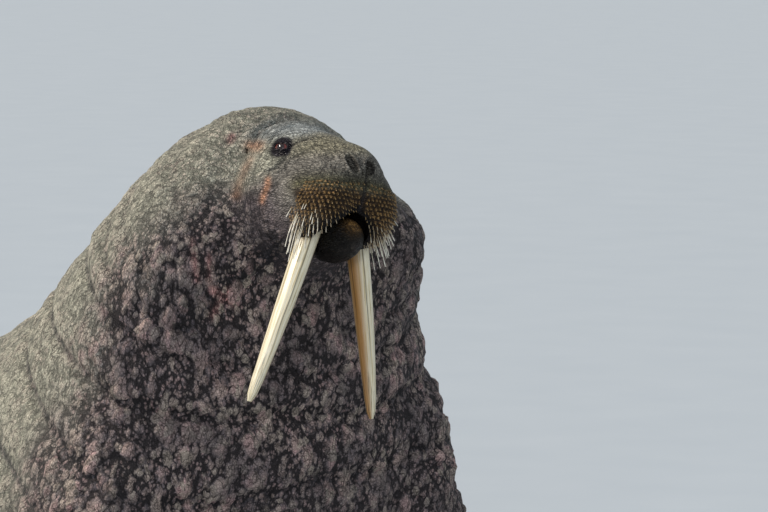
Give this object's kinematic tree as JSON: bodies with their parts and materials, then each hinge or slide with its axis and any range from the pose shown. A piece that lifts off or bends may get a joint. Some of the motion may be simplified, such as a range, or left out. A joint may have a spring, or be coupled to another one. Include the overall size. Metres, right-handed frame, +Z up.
{
  "type": "walrus",
  "caption": "Life-size bull walrus propped on its fore flippers with the head raised, long tusks and whiskered muzzle.",
  "frame": {"origin": "middle of the bounding box at the floor", "axes": "+X towards the nose, +Y to the animal's left, +Z up; the floor is Z = 0"},
  "size_m": [2.7496, 1.7678, 1.1966],
  "materials": {
    "skin": "thick wrinkled hide, nearly bare, matt",
    "ivory": "worn ivory with fine lengthwise cracks",
    "eye": "wet and dark"
  },
  "bodies": {
    "root": {"head": "skin", "muzzle": "skin", "lower_jaw": "skin", "neck": "skin", "chest": "skin", "torso": "skin", "hindquarters": "skin", "tail": "skin", "fore_flipper_left": "skin", "fore_flipper_right": "skin", "hind_flipper_left": "skin", "hind_flipper_right": "skin", "tusk_left": "ivory", "tusk_right": "ivory", "eye_left": "eye", "eye_right": "eye"}
  },
  "joints": []
}
